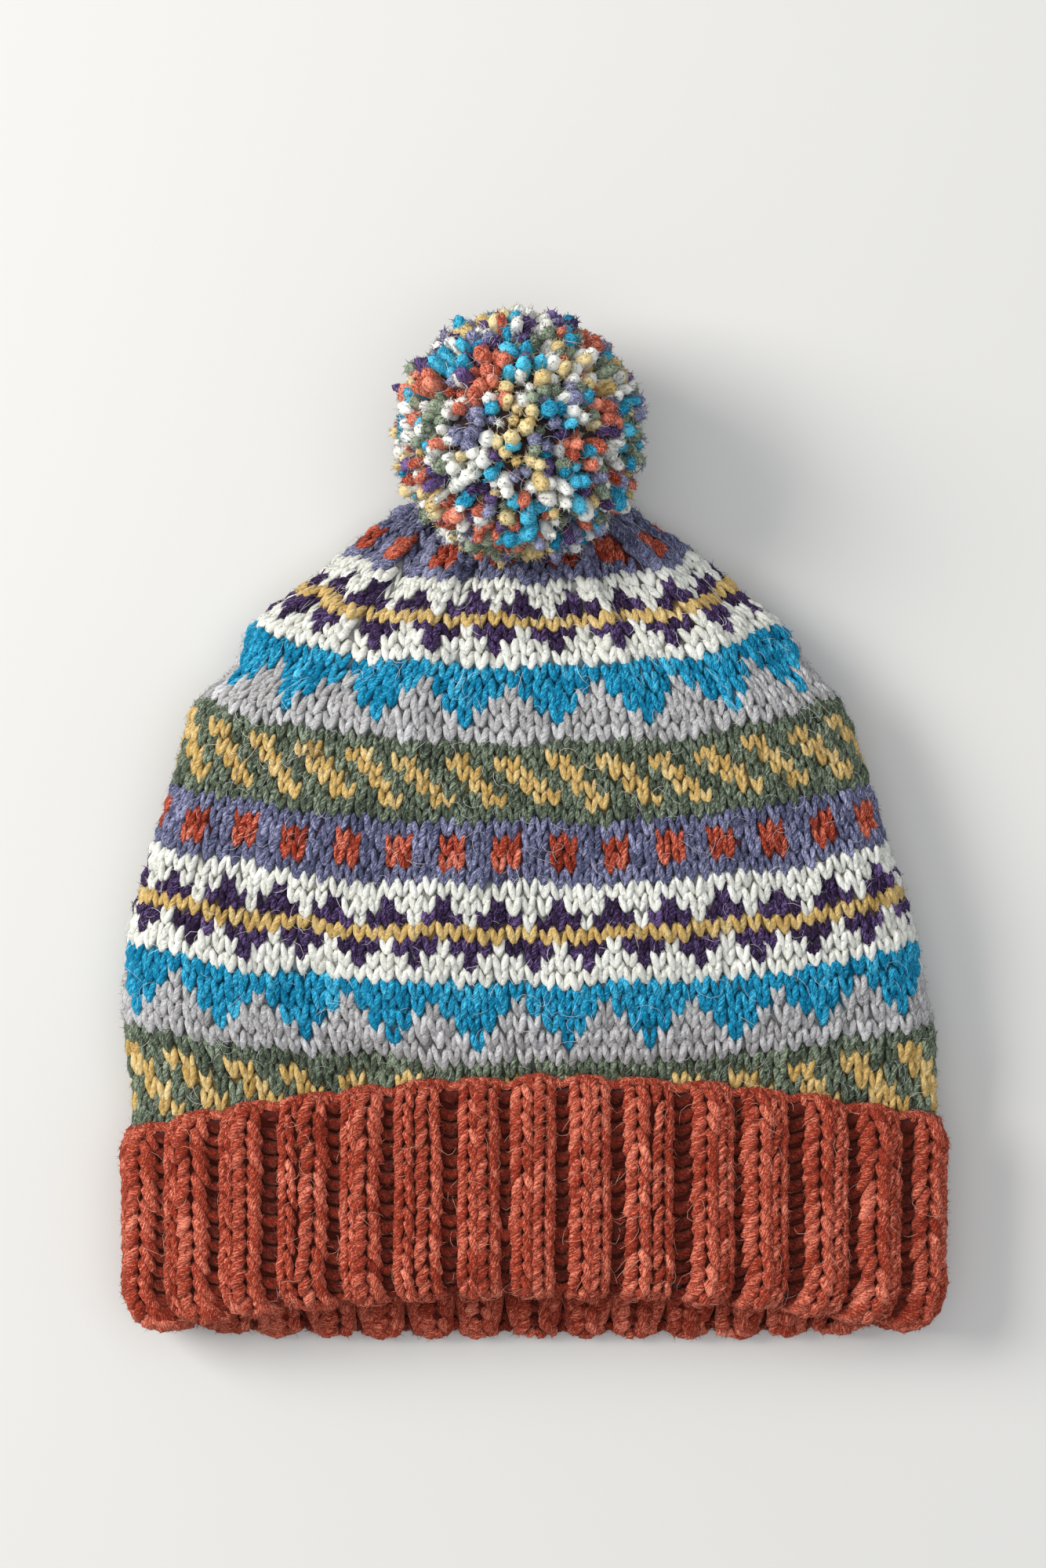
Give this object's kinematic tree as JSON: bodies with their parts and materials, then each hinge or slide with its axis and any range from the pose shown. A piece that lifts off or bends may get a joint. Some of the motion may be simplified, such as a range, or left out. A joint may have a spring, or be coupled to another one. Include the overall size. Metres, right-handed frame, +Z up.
{
  "type": "knitted bobble hat",
  "caption": "Adult colourwork bobble hat lying flat: hollow knitted crown with a doubled, turned-up rib brim and a ball of cut yarn sewn to the drawn-up tip.",
  "frame": {"origin": "middle of the hat's footprint, on the floor that it lies on", "axes": "+Z up from the floor; +Y from the mouth towards the pompom; +X across the hat, to the right with the pompom pointing away"},
  "size_m": [0.2394, 0.2951, 0.0718],
  "materials": {
    "colourwork_wool": "stranded colourwork in double-knit wool: turquoise, grey, heathered green, yellow, off-white, purple, lavender and rust, matt with a short haze",
    "rib_wool": "rust double-knit wool in knit-two purl-two rib, matt with a short haze",
    "cut_yarn": "cut ends of wool yarn in mixed colours: rust, purple, off-white, yellow, turquoise, green and lavender",
    "tie_yarn": "twisted rust wool"
  },
  "bodies": {
    "root": {"crown": "colourwork_wool", "brim": "rib_wool", "pompom": "cut_yarn", "pompom_tie": "tie_yarn"}
  },
  "joints": []
}
